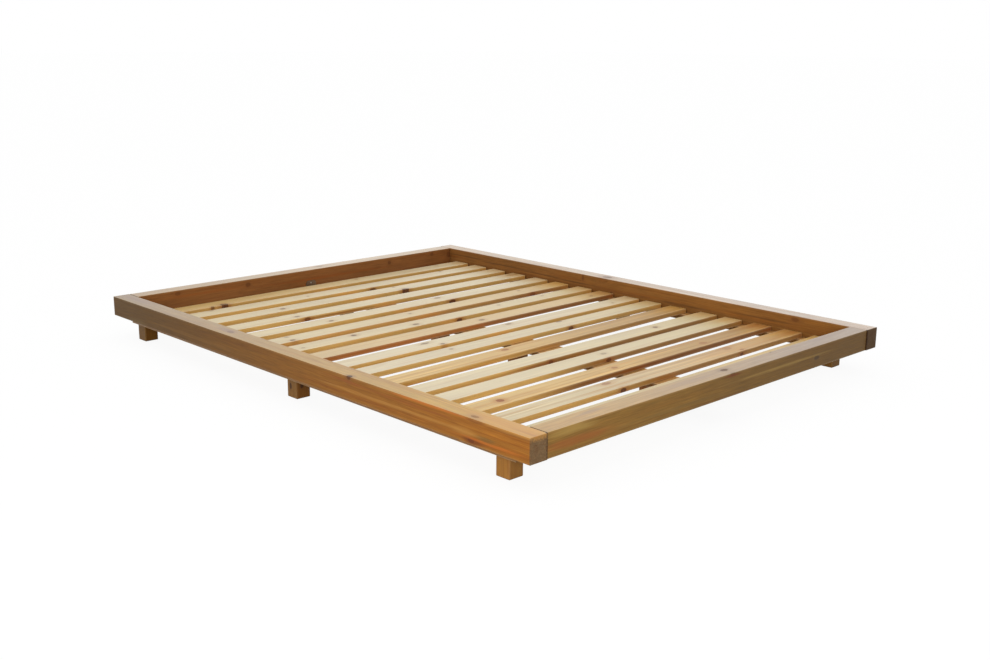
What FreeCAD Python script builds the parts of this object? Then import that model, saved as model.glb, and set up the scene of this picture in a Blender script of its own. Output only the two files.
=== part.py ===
import FreeCAD, Part
import math
import os
import Sketcher

# A low slatted bed frame in pine, in millimetres. +Z is up, +Y points to the head end,
# and the origin lies on the floor under the middle of the frame.
# Two side rails run the full length, and two end rails butt between them. A ledger board
# under each side rail carries the loose slats' ends, and a flat board down the middle
# carries their middles. Short square feet stand under the ledgers and the middle board.

SIZES = [
    ("bed_length", 2140, "outside length, along Y"),
    ("bed_width", 1658, "outside width, along X"),
    ("rail_height", 70, "height of a rail's section"),
    ("rail_thickness", 62, "thickness of a rail's section"),
    ("rail_ease", 2, "rounding of a rail's edges"),
    ("end_inset", 3, "end rail's outer face, in from the side rails' ends"),
    ("ledger_width", 65, "width of a ledger board"),
    ("ledger_thickness", 20, "thickness of a ledger board"),
    ("ledger_inset", 29, "ledger's outer edge, in from the rail's outer face"),
    ("ledger_setback", 79, "ledger's end, in from the side rail's end"),
    ("board_width", 110, "width of the middle board"),
    ("board_thickness", 16, "thickness of the middle board"),
    ("board_gap", 1, "gap from the middle board's end to the end rail's inner face"),
    ("board_ease", 2, "rounding of the ledgers' and the middle board's long edges"),
    ("foot_width", 50, "side of a foot's square section"),
    ("foot_ease", 3, "rounding of a foot's edges"),
    ("side_foot_height", 58, "height of a foot under a ledger"),
    ("side_foot_inset", 36.5, "side foot's outer face, in from the rail's outer face"),
    ("end_foot_setback", 106.5, "end foot's far face, in from the side rail's end"),
    ("middle_foot_shift", 12, "side rails' middle feet, towards the foot end from the middle"),
    ("centre_foot_inner", 200, "inner middle feet, out from the bed's middle"),
    ("centre_foot_outer", 775, "outer middle feet, out from the bed's middle"),
    ("slat_width", 73, "width of a slat"),
    ("slat_thickness", 17, "thickness of a slat"),
    ("slat_gap", 4, "gap from a slat's end to the side rail's inner face"),
    ("slat_ease", 1.5, "rounding of a slat's long edges"),
    ("bracket_width", 48, "width of an angle bracket"),
    ("bracket_height", 26, "height of the bracket's upright leg"),
    ("bracket_depth", 28, "length of the bracket's flat leg"),
    ("bracket_gauge", 2.5, "thickness of the bracket's metal"),
    ("bracket_corner", 12, "radius of the bracket's free corners"),
    ("bracket_bend", 2, "radius inside the bracket's bend"),
    ("bracket_hole", 15, "screw hole, out from the bracket's outer corner"),
    ("dowel_diameter", 12, "diameter of every dowel"),
    ("corner_dowel_low", 20, "lower corner dowel, above the rail's underside"),
    ("corner_dowel_high", 49, "upper corner dowel, above the rail's underside"),
    ("corner_dowel_reach", 30, "corner dowel's length in each rail"),
    ("foot_dowel_down", 20, "foot dowel's length in the foot"),
    ("foot_dowel_up", 10, "foot dowel's length in the board above"),
    ("screw_diameter", 4, "diameter of every screw's shank"),
    ("screw_head", 8, "diameter of every screw's head"),
    ("ledger_screw_length", 45, "length of a countersunk ledger screw"),
    ("screw_line", 45.5, "row of ledger screws, in from the rail's outer face"),
    ("screw_first", 130, "first ledger screw, out from the bed's middle"),
    ("screw_pitch", 240, "distance from one ledger screw to the next"),
    ("bracket_screw_length", 14, "length of a bracket screw below its head"),
    ("pan_wall", 1.2, "height of a bracket screw head's straight wall"),
    ("pan_crown", 1.0, "height of a bracket screw head's sloping crown"),
    ("fit_play", 0.05, "gap around a dowel or a screw in its hole"),
    ("hole_relief", 1, "empty depth at the bottom of a blind hole"),
]

# Middle of each loose slat along Y, and its small turn about Z in degrees, from the head end.
SLATS = [
    (917, 0.02), (799, -0.09), (680, 0.06), (553, 0.36),
    (419, 0.50), (298, 0.71), (176, 0.32), (58, 0.61),
    (-74, 0.64), (-182, 0.56), (-308, 1.21), (-439, 0.45),
    (-548, 0.42), (-673, 0.49), (-793, 0.11), (-917, 0.29),
]

SCREWS_PER_HALF = 4  # ledger screws on each side of the bed's middle, on each ledger
COUNTERSINK_ANGLE = 45.0  # slope of a countersunk head, from its axis
VOLUME_TOLERANCE = 0.02  # share by which a cut may differ from its nominal volume

RAIL_BOTTOM = "(Sizes.side_foot_height + Sizes.ledger_thickness)"
BOARD_BOTTOM = f"({RAIL_BOTTOM} - Sizes.board_thickness)"
INSIDE_HALF_LENGTH = "(Sizes.bed_length / 2 - Sizes.end_inset - Sizes.rail_thickness)"
INSIDE_HALF_WIDTH = "(Sizes.bed_width / 2 - Sizes.rail_thickness)"
END_RAIL_MIDDLE = f"({INSIDE_HALF_LENGTH} + Sizes.rail_thickness / 2)"
SIDE_FOOT_MIDDLE = "(Sizes.bed_width / 2 - Sizes.side_foot_inset - Sizes.foot_width / 2)"
END_FOOT_MIDDLE = "(Sizes.bed_length / 2 - Sizes.end_foot_setback - Sizes.foot_width / 2)"
LEDGER_MIDDLE = "(Sizes.bed_width / 2 - Sizes.ledger_inset - Sizes.ledger_width / 2)"
DOWEL_BORE = "(Sizes.dowel_diameter + 2 * Sizes.fit_play)"
SCREW_BORE = "(Sizes.screw_diameter + 2 * Sizes.fit_play)"
COUNTERSINK_DEPTH = "((Sizes.screw_head - Sizes.screw_diameter) / 2)"

doc = FreeCAD.newDocument("FloorBed")
sheet = doc.addObject("Spreadsheet::Sheet", "Sizes")


def fill_sheet():
    rows = list(SIZES)
    for number, (middle, turn) in enumerate(SLATS, start=1):
        rows.append((f"slat_{number:02d}_middle", middle, f"slat {number}: middle along Y"))
        rows.append((f"slat_{number:02d}_turn", turn, f"slat {number}: turn about Z, degrees"))
    for row, (alias, value, meaning) in enumerate(rows, start=1):
        sheet.set(f"A{row}", meaning)
        sheet.set(f"B{row}", str(value))
        sheet.setAlias(f"B{row}", alias)
    doc.recompute()


def bind(thing, bindings):
    for name, expression in bindings.items():
        thing.setExpression(name, str(expression))


def place(thing, across="0", along="0", up="0", turn="0"):
    # Puts a piece at its place in the bed, turned about Z.
    thing.Placement = FreeCAD.Placement(FreeCAD.Vector(), FreeCAD.Rotation(FreeCAD.Vector(0, 0, 1), 1))
    bind(thing, {
        "Placement.Base.x": across,
        "Placement.Base.y": along,
        "Placement.Base.z": up,
        "Placement.Rotation.Angle": turn,
    })


def new_body(label):
    body = doc.addObject("PartDesign::Body", label)
    body.Label = label
    return body


def new_sketch(body, name, role, lift="0"):
    # A sketch on one of the body's own origin planes, moved out along that plane's normal.
    sketch = body.newObject("Sketcher::SketchObject", f"{body.Name}_{name}")
    plane = next(item for item in body.Origin.OriginFeatures if item.Role == role)
    sketch.AttachmentSupport = [(plane, "")]
    sketch.MapMode = "FlatFace"
    sketch.setExpression("AttachmentOffset.Base.z", lift)
    return sketch


def name_size(sketch, constraint, name, expression):
    index = sketch.addConstraint(constraint)
    sketch.renameConstraint(index, name)
    sketch.setExpression(f"Constraints.{name}", expression)


def closed_outline(sketch, corners):
    # Straight sides through the corners, each side joined to the next, all level or upright.
    count = len(corners)
    for index in range(count):
        start = FreeCAD.Vector(*corners[index], 0)
        end = FreeCAD.Vector(*corners[(index + 1) % count], 0)
        sketch.addGeometry(Part.LineSegment(start, end), False)
    for index in range(count):
        sketch.addConstraint(Sketcher.Constraint("Coincident", index, 2, (index + 1) % count, 1))
        level = corners[index][1] == corners[(index + 1) % count][1]
        sketch.addConstraint(Sketcher.Constraint("Horizontal" if level else "Vertical", index))


def symmetric_pad(body, sketch, length):
    pad = body.newObject("PartDesign::Pad", f"{body.Name}_pad")
    pad.Profile = sketch
    pad.SideType = "Symmetric"
    pad.setExpression("Length", length)
    doc.recompute()
    return pad


def round_edges(body, base, name, radius, chosen):
    # Rounds the edges of base that the test picks out.
    names = [f"Edge{number}" for number, edge in enumerate(base.Shape.Edges, start=1) if chosen(edge)]
    fillet = body.newObject("PartDesign::Fillet", f"{body.Name}_{name}")
    fillet.Base = (base, names)
    fillet.setExpression("Radius", radius)
    doc.recompute()
    return fillet


def runs_along(edge, direction):
    first, last = edge.Vertexes[0].Point, edge.Vertexes[-1].Point
    span = last - first
    return edge.Curve.TypeId == "Part::GeomLine" and abs(span.dot(direction)) > 0.99 * span.Length


def plank(label, role, length, width, thickness, ease, all_edges):
    # A straight piece of timber on its own XY plane, centred on the origin. The section lies
    # in the plane named by role: XZ for a piece along Y, YZ for a piece along X.
    body = new_body(label)
    sketch = new_sketch(body, "section", role)
    closed_outline(sketch, [(-10, 0), (10, 0), (10, 5), (-10, 5)])
    sketch.addConstraint(Sketcher.Constraint("Symmetric", 0, 1, 0, 2, -1, 1))
    name_size(sketch, Sketcher.Constraint("DistanceX", 0, 1, 0, 2, 20), "width", width)
    name_size(sketch, Sketcher.Constraint("DistanceY", 1, 1, 1, 2, 5), "thickness", thickness)
    pad = symmetric_pad(body, sketch, length)
    direction = FreeCAD.Vector(0, 1, 0) if role == "XZ_Plane" else FreeCAD.Vector(1, 0, 0)
    round_edges(body, pad, "ease", ease, lambda edge: all_edges or runs_along(edge, direction))
    return body


def drill(body, name, role, lift, marks, bore, depth, with_normal, slope=0.0):
    # Round holes at the marks, cut from a plane along or against that plane's normal. A slope
    # makes each hole narrower as it goes in.
    before = body.Shape.Volume
    sketch = new_sketch(body, f"{name}_marks", role, lift)
    for index, (right, up) in enumerate(marks):
        circle = Part.Circle(FreeCAD.Vector(20 * index + 5, 5, 0), FreeCAD.Vector(0, 0, 1), 2)
        sketch.addGeometry(circle, False)
        for kind, value, axis in (("DistanceX", right, -2), ("DistanceY", up, -1)):
            if value == "0":
                sketch.addConstraint(Sketcher.Constraint("PointOnObject", index, 3, axis))
            else:
                constraint = Sketcher.Constraint(kind, -1, 1, index, 3, 5)
                name_size(sketch, constraint, f"{kind}_{index}", value)
        name_size(sketch, Sketcher.Constraint("Diameter", index, 4), f"bore_{index}", bore)
    pocket = body.newObject("PartDesign::Pocket", f"{body.Name}_{name}")
    pocket.Profile = sketch
    pocket.setExpression("Length", depth)
    pocket.Reversed = with_normal
    pocket.TaperAngle = -slope
    doc.recompute()
    removed = before - body.Shape.Volume
    radius = sketch.Geometry[0].Radius
    deep = pocket.Length.Value
    inner = radius - deep * math.tan(math.radians(slope))
    nominal = len(marks) * math.pi * deep * (radius ** 2 + radius * inner + inner ** 2) / 3
    if removed <= 0 or removed > nominal * (1 + VOLUME_TOLERANCE):
        raise RuntimeError(f"{body.Label}: {name} removed {removed:.1f} of {nominal:.1f} mm3")


def ledger_screw_rows():
    # Distances of the ledger screws from the bed's middle, on both sides of it.
    steps = [f"(Sizes.screw_first + {step} * Sizes.screw_pitch)" for step in range(SCREWS_PER_HALF)]
    return [f"-{step}" for step in steps] + steps


def side_foot_rows():
    return [f"-{END_FOOT_MIDDLE}", "-Sizes.middle_foot_shift", END_FOOT_MIDDLE]


def centre_foot_rows():
    inner, outer = "Sizes.centre_foot_inner", "Sizes.centre_foot_outer"
    return [outer, inner, f"-{inner}", f"-{outer}"]


def side_rail(label, side):
    # Built as the left rail, whose inner face looks to +X. The right one is turned half round.
    body = plank(label, "XZ_Plane", "Sizes.bed_length", "Sizes.rail_thickness",
                 "Sizes.rail_height", "Sizes.rail_ease", True)
    corner_marks = [(f"{sign}{END_RAIL_MIDDLE}", f"Sizes.corner_dowel_{level}")
                    for sign in ("", "-") for level in ("low", "high")]
    drill(body, "corner_bores", "YZ_Plane", "Sizes.rail_thickness / 2", corner_marks, DOWEL_BORE,
          "Sizes.corner_dowel_reach + Sizes.hole_relief", False)
    screw_marks = [("Sizes.screw_line - Sizes.rail_thickness / 2", row) for row in ledger_screw_rows()]
    drill(body, "screw_bores", "XY_Plane", "0", screw_marks, SCREW_BORE,
          "Sizes.ledger_screw_length - Sizes.ledger_thickness + Sizes.hole_relief", True)
    place(body, f"{side} * (Sizes.bed_width - Sizes.rail_thickness) / 2", "0", RAIL_BOTTOM,
          "0" if side < 0 else "180")
    return body


def end_rail(label, end):
    # Built as the head rail, whose inner face looks to -Y. The foot rail is turned half round.
    body = plank(label, "YZ_Plane", f"2 * {INSIDE_HALF_WIDTH}", "Sizes.rail_thickness",
                 "Sizes.rail_height", "Sizes.rail_ease", True)
    levels = [("0", "Sizes.corner_dowel_low"), ("0", "Sizes.corner_dowel_high")]
    depth = "Sizes.corner_dowel_reach + Sizes.hole_relief"
    drill(body, "right_bores", "YZ_Plane", INSIDE_HALF_WIDTH, levels, DOWEL_BORE, depth, False)
    drill(body, "left_bores", "YZ_Plane", f"-{INSIDE_HALF_WIDTH}", levels, DOWEL_BORE, depth, True)
    drill(body, "bracket_bore", "XZ_Plane", "Sizes.rail_thickness / 2", [("0", "Sizes.bracket_hole")],
          SCREW_BORE, "Sizes.bracket_screw_length", False)
    place(body, "0", f"{end} * {END_RAIL_MIDDLE}", RAIL_BOTTOM, "0" if end > 0 else "180")
    return body


def ledger(label, side):
    # Built as the left ledger, whose outer edge looks to -X. The right one is turned half round,
    # so its foot rows are counted the other way.
    body = plank(label, "XZ_Plane", "Sizes.bed_length - 2 * Sizes.ledger_setback",
                 "Sizes.ledger_width", "Sizes.ledger_thickness", "Sizes.board_ease", False)
    screw_place = "Sizes.screw_line - Sizes.ledger_inset - Sizes.ledger_width / 2"
    screw_marks = [(screw_place, row) for row in ledger_screw_rows()]
    drill(body, "screw_bores", "XY_Plane", "0", screw_marks, SCREW_BORE,
          "Sizes.ledger_thickness", True)
    drill(body, "countersinks", "XY_Plane", "0", screw_marks,
          "Sizes.screw_head + 2 * Sizes.fit_play", COUNTERSINK_DEPTH, True, COUNTERSINK_ANGLE)
    foot_marks = [("0", f"{-side} * {row}") for row in side_foot_rows()]
    drill(body, "dowel_bores", "XY_Plane", "0", foot_marks, DOWEL_BORE,
          "Sizes.foot_dowel_up + Sizes.hole_relief", True)
    place(body, f"{side} * {LEDGER_MIDDLE}", "0", "Sizes.side_foot_height",
          "0" if side < 0 else "180")
    return body


def centre_board():
    body = plank("centre_board", "XZ_Plane", f"2 * ({INSIDE_HALF_LENGTH} - Sizes.board_gap)",
                 "Sizes.board_width", "Sizes.board_thickness", "Sizes.board_ease", False)
    drill(body, "dowel_bores", "XY_Plane", "0", [("0", row) for row in centre_foot_rows()],
          DOWEL_BORE, "Sizes.foot_dowel_up + Sizes.hole_relief", True)
    screw_row = f"({INSIDE_HALF_LENGTH} - Sizes.bracket_hole)"
    drill(body, "bracket_bores", "XY_Plane", "Sizes.board_thickness",
          [("0", screw_row), ("0", f"-{screw_row}")], SCREW_BORE, "Sizes.bracket_screw_length", False)
    place(body, "0", "0", BOARD_BOTTOM)
    return body


def foot(label, across, along, height):
    body = plank(label, "XZ_Plane", "Sizes.foot_width", "Sizes.foot_width", height,
                 "Sizes.foot_ease", True)
    drill(body, "dowel_bore", "XY_Plane", height, [("0", "0")], DOWEL_BORE,
          "Sizes.foot_dowel_down + Sizes.hole_relief", False)
    place(body, across, along)
    return body


def angle_bracket(label, end):
    # Built as the head bracket: its outer corner is the origin, the flat leg runs to -Y on the
    # middle board, and the upright leg stands against the head rail.
    body = new_body(label)
    sketch = new_sketch(body, "profile", "YZ_Plane")
    closed_outline(sketch, [(0, 0), (-20, 0), (-20, 2), (-2, 2), (-2, 20), (0, 20)])
    sketch.addConstraint(Sketcher.Constraint("Coincident", 0, 1, -1, 1))
    name_size(sketch, Sketcher.Constraint("DistanceX", 0, 2, 0, 1, 20), "depth", "Sizes.bracket_depth")
    name_size(sketch, Sketcher.Constraint("DistanceY", 1, 1, 1, 2, 2), "flat", "Sizes.bracket_gauge")
    name_size(sketch, Sketcher.Constraint("DistanceX", 4, 1, 4, 2, 2), "upright", "Sizes.bracket_gauge")
    name_size(sketch, Sketcher.Constraint("DistanceY", 5, 2, 5, 1, 20), "height", "Sizes.bracket_height")
    pad = symmetric_pad(body, sketch, "Sizes.bracket_width")
    gauge = sheet.bracket_gauge
    bend = round_edges(body, pad, "bend", "Sizes.bracket_bend", lambda edge: all(
        abs(vertex.Y + gauge) < 0.01 and abs(vertex.Z - gauge) < 0.01 for vertex in edge.Vertexes))
    reach = 0.9 * min(sheet.bracket_depth, sheet.bracket_height)
    round_edges(body, bend, "corners", "Sizes.bracket_corner", lambda edge: (
        abs(edge.Length - gauge) < 0.01
        and max(-edge.CenterOfMass.y, edge.CenterOfMass.z) > reach))
    drill(body, "upright_hole", "XZ_Plane", "0", [("0", "Sizes.bracket_hole")], SCREW_BORE,
          "Sizes.bracket_gauge", True)
    drill(body, "flat_hole", "XY_Plane", "0", [("0", "-Sizes.bracket_hole")], SCREW_BORE,
          "Sizes.bracket_gauge", True)
    place(body, "0", f"{end} * {INSIDE_HALF_LENGTH}", RAIL_BOTTOM, "0" if end > 0 else "180")
    return body


def slat(number):
    label = f"slat_{number:02d}"
    body = plank(label, "YZ_Plane", f"2 * ({INSIDE_HALF_WIDTH} - Sizes.slat_gap)",
                 "Sizes.slat_width", "Sizes.slat_thickness", "Sizes.slat_ease", False)
    place(body, "0", f"Sizes.{label}_middle", RAIL_BOTTOM, f"Sizes.{label}_turn")
    return body


def rod(name, radius, length, across="0", along="0", up="0", lay=None):
    # A round rod that starts at its place and runs to +Z, or as the rotation lay turns it.
    cylinder = doc.addObject("Part::Cylinder", name)
    cylinder.Placement = FreeCAD.Placement(FreeCAD.Vector(), lay or FreeCAD.Rotation())
    bind(cylinder, {
        "Radius": radius,
        "Height": length,
        "Placement.Base.x": across,
        "Placement.Base.y": along,
        "Placement.Base.z": up,
    })
    return cylinder


def cone(name, start_radius, end_radius, length, up="0"):
    solid = doc.addObject("Part::Cone", name)
    bind(solid, {
        "Radius1": start_radius,
        "Radius2": end_radius,
        "Height": length,
        "Placement.Base.z": up,
    })
    return solid


def group(label, solids):
    # Identical fasteners that share one node, each a separate solid.
    compound = doc.addObject("Part::Compound", label)
    compound.Label = label
    compound.Links = solids
    return compound


def joined(name, pieces, across, along, up, lay):
    # One screw from its pieces, head at its place and point to +Z before the rotation lay.
    screw = doc.addObject("Part::MultiFuse", name)
    screw.Shapes = pieces
    screw.Placement = FreeCAD.Placement(FreeCAD.Vector(), lay)
    bind(screw, {"Placement.Base.x": across, "Placement.Base.y": along, "Placement.Base.z": up})
    return screw


def countersunk_screw(name, across, along, up):
    shank = rod(f"{name}_shank", "Sizes.screw_diameter / 2", "Sizes.ledger_screw_length")
    head = cone(f"{name}_head", "Sizes.screw_head / 2", "Sizes.screw_diameter / 2", COUNTERSINK_DEPTH)
    return joined(name, [shank, head], across, along, up, FreeCAD.Rotation())


def pan_screw(name, along, up, lay):
    shank = rod(f"{name}_shank", "Sizes.screw_diameter / 2", "Sizes.bracket_screw_length")
    wall = rod(f"{name}_wall", "Sizes.screw_head / 2", "Sizes.pan_wall", up="-Sizes.pan_wall")
    crown = cone(f"{name}_crown", "Sizes.screw_head / 2 - Sizes.pan_crown", "Sizes.screw_head / 2",
                 "Sizes.pan_crown", "-Sizes.pan_wall - Sizes.pan_crown")
    return joined(name, [shank, wall, crown], "0", along, up, lay)


def ledger_screws():
    line = "(Sizes.bed_width / 2 - Sizes.screw_line)"
    screws = [countersunk_screw(f"ledger_screw_{side_name}_{number}", f"{side} * {line}", row,
                                "Sizes.side_foot_height")
              for side_name, side in (("left", -1), ("right", 1))
              for number, row in enumerate(ledger_screw_rows(), start=1)]
    return group("ledger_screws", screws)


def bracket_screws():
    # One screw goes level into each end rail, and one goes down into the middle board.
    across_axis = FreeCAD.Vector(1, 0, 0)
    face = f"({INSIDE_HALF_LENGTH} - Sizes.bracket_gauge)"
    row = f"({INSIDE_HALF_LENGTH} - Sizes.bracket_hole)"
    screws = []
    for end_name, end in (("head", 1), ("foot", -1)):
        level = FreeCAD.Rotation(across_axis, -90 * end)
        down = FreeCAD.Rotation(across_axis, 180)
        screws.append(pan_screw(f"{end_name}_level_screw", f"{end} * {face}",
                                f"{RAIL_BOTTOM} + Sizes.bracket_hole", level))
        screws.append(pan_screw(f"{end_name}_down_screw", f"{end} * {row}",
                                f"{RAIL_BOTTOM} + Sizes.bracket_gauge", down))
    return group("bracket_screws", screws)


def foot_dowels():
    length = "Sizes.foot_dowel_down + Sizes.foot_dowel_up"
    radius = "Sizes.dowel_diameter / 2"
    places = [(f"{side} * {SIDE_FOOT_MIDDLE}", row, "Sizes.side_foot_height")
              for side in (-1, 1) for row in side_foot_rows()]
    places += [("0", row, BOARD_BOTTOM) for row in centre_foot_rows()]
    dowels = [rod(f"foot_dowel_{number}", radius, length, across, along, f"{top} - Sizes.foot_dowel_down")
              for number, (across, along, top) in enumerate(places, start=1)]
    return group("foot_dowels", dowels)


def corner_dowels():
    towards_right = FreeCAD.Rotation(FreeCAD.Vector(0, 1, 0), 90)
    dowels = []
    for side in (-1, 1):
        start = f"{side} * {INSIDE_HALF_WIDTH} - Sizes.corner_dowel_reach"
        for end in (-1, 1):
            for level in ("low", "high"):
                name = f"corner_dowel_{len(dowels) + 1}"
                dowels.append(rod(name, "Sizes.dowel_diameter / 2", "2 * Sizes.corner_dowel_reach",
                                  start, f"{end} * {END_RAIL_MIDDLE}",
                                  f"{RAIL_BOTTOM} + Sizes.corner_dowel_{level}", towards_right))
    return group("corner_dowels", dowels)


def build():
    nodes = [
        side_rail("side_rail_left", -1),
        side_rail("side_rail_right", 1),
        end_rail("head_rail", 1),
        end_rail("foot_rail", -1),
        ledger("ledger_left", -1),
        ledger("ledger_right", 1),
        centre_board(),
    ]
    for side_name, side in (("left", -1), ("right", 1)):
        for row_name, row in zip(("foot_end", "middle", "head_end"), side_foot_rows()):
            nodes.append(foot(f"side_foot_{side_name}_{row_name}", f"{side} * {SIDE_FOOT_MIDDLE}", row,
                              "Sizes.side_foot_height"))
    for number, row in enumerate(centre_foot_rows(), start=1):
        nodes.append(foot(f"centre_foot_{number}", "0", row, BOARD_BOTTOM))
    nodes += [angle_bracket("angle_bracket_head", 1), angle_bracket("angle_bracket_foot", -1)]
    nodes += [bracket_screws(), ledger_screws(), foot_dowels(), corner_dowels()]
    nodes += [slat(number) for number in range(1, len(SLATS) + 1)]
    return nodes


def check(nodes):
    for thing in doc.Objects:
        if "Invalid" in thing.State or "Error" in thing.State:
            raise RuntimeError(f"{thing.Label} failed: {thing.State}")
    for node in nodes:
        if node.Shape.isNull() or not node.Shape.isValid() or not node.Shape.Solids:
            raise RuntimeError(f"{node.Label} has no valid solid")


def export(nodes):
    os.makedirs("parts", exist_ok=True)
    for node in nodes:
        node.Shape.exportStep(os.path.join("parts", f"{node.Label}.step"))
        box = node.Shape.BoundBox
        print(f"{node.Label}: {len(node.Shape.Solids)} solids, "
              f"x {box.XMin:.1f}..{box.XMax:.1f}, y {box.YMin:.1f}..{box.YMax:.1f}, "
              f"z {box.ZMin:.1f}..{box.ZMax:.1f}")


fill_sheet()
pieces = build()
doc.recompute()
check(pieces)
export(pieces)
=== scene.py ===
import math
import bpy
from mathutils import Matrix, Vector


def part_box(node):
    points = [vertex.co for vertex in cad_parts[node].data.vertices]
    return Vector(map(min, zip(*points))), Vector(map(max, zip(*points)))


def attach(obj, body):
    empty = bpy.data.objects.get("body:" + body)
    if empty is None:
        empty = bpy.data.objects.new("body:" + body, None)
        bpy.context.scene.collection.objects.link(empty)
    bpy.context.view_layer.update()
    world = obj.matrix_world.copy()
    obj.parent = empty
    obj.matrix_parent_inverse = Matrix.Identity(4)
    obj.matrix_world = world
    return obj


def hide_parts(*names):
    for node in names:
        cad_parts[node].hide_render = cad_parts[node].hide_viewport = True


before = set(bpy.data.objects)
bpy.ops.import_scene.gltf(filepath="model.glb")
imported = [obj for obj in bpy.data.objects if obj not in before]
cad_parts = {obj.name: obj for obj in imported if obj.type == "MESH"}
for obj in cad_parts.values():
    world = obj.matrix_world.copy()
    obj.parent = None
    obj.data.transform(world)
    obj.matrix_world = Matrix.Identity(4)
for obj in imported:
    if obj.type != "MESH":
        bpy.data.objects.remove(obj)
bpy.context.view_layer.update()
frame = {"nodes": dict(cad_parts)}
nodes = frame["nodes"]
scene = bpy.context.scene
scene.view_settings.view_transform = "Standard"
bpy.ops.object.select_all(action="DESELECT")
print("stage 1: frame loaded,", len(nodes), "pieces")

# camera, worked out from the photo's straight edges

cameraLook = {
    "place": (-2.75993, -2.94366, 1.08813),
    "turn": (75.9721, -0.4211, -43.9054),  # degrees
    "lens": 42.9624,
    "sensor": 36.0,
    "farClip": 200,
}


def makeCamera(look):
    data = bpy.data.cameras.new("viewCamera")
    data.lens = look["lens"]
    data.sensor_width = look["sensor"]
    data.sensor_fit = "HORIZONTAL"
    data.clip_end = look["farClip"]
    camera = bpy.data.objects.new("viewCamera", data)
    camera.location = look["place"]
    camera.rotation_euler = [math.radians(a) for a in look["turn"]]
    scene.collection.objects.link(camera)
    scene.camera = camera


makeCamera(cameraLook)
print("stage 2: camera set")

# small helpers for node trees


def feed(tree, socket, value):
    if isinstance(value, bpy.types.NodeSocket):
        tree.links.new(value, socket)
    else:
        socket.default_value = value


def addNode(tree, kind, inputs=None, **settings):
    made = tree.nodes.new("ShaderNode" + kind)
    made.location.x = 190 * (len(tree.nodes) % 12)
    made.location.y = -260 * (len(tree.nodes) // 12)
    for name, value in settings.items():
        setattr(made, name, value)
    for name, value in (inputs or {}).items():
        feed(tree, made.inputs[name], value)
    return made


def calc(tree, operation, *values, clamp=False):
    made = addNode(tree, "Math", operation=operation, use_clamp=clamp)
    for socket, value in zip(made.inputs, values):
        feed(tree, socket, value)
    return made.outputs[0]


def vectorCalc(tree, operation, *values):
    made = addNode(tree, "VectorMath", operation=operation)
    for socket, value in zip(made.inputs, values):
        feed(tree, socket, value)
    return made.outputs["Value" if operation == "LENGTH" else "Vector"]


def mixColour(tree, factor, first, second, blend="MIX"):
    made = addNode(tree, "Mix", data_type="RGBA", blend_type=blend)
    feed(tree, made.inputs[0], factor)
    feed(tree, made.inputs[6], first)
    feed(tree, made.inputs[7], second)
    return made.outputs[2]


def spread(tree, value, low, high, toLow=0.0, toHigh=1.0):
    made = addNode(tree, "MapRange", interpolation_type="SMOOTHSTEP")
    limits = {"Value": value, "From Min": low, "From Max": high, "To Min": toLow, "To Max": toHigh}
    for name, amount in limits.items():
        feed(tree, made.inputs[name], amount)
    return made.outputs["Result"]


def noise(tree, point, scale, detail=2.0, rough=0.5):
    made = addNode(
        tree, "TexNoise", {"Vector": point, "Scale": scale, "Detail": detail, "Roughness": rough}
    )
    return made.outputs["Fac"]


def greyOf(tree, value):
    return addNode(tree, "CombineColor", {"Red": value, "Green": value, "Blue": value}).outputs["Color"]


def newGroup(name, inputs, outputs):
    tree = bpy.data.node_groups.new(name, "ShaderNodeTree")
    kinds = {"v": "NodeSocketVector", "f": "NodeSocketFloat", "c": "NodeSocketColor"}
    for label, kind, value in inputs:
        socket = tree.interface.new_socket(label, in_out="INPUT", socket_type=kinds[kind])
        socket.default_value = value
    for label, kind in outputs:
        tree.interface.new_socket(label, in_out="OUTPUT", socket_type=kinds[kind])
    taken = tree.nodes.new("NodeGroupInput").outputs
    given = tree.nodes.new("NodeGroupOutput").inputs
    return tree, taken, given


def placeGroup(tree, name, inputs):
    return addNode(tree, "Group", inputs, node_tree=bpy.data.node_groups[name]).outputs


def shade(red, green, blue):  # a colour written as it shows on a screen, 0 to 255
    parts = [c / 255 for c in (red, green, blue)]
    return (*[c / 12.92 if c <= 0.04045 else ((c + 0.055) / 1.055) ** 2.4 for c in parts], 1.0)


# one knot: grain lines part round it, and it has its own rings and a stained ring round it


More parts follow.
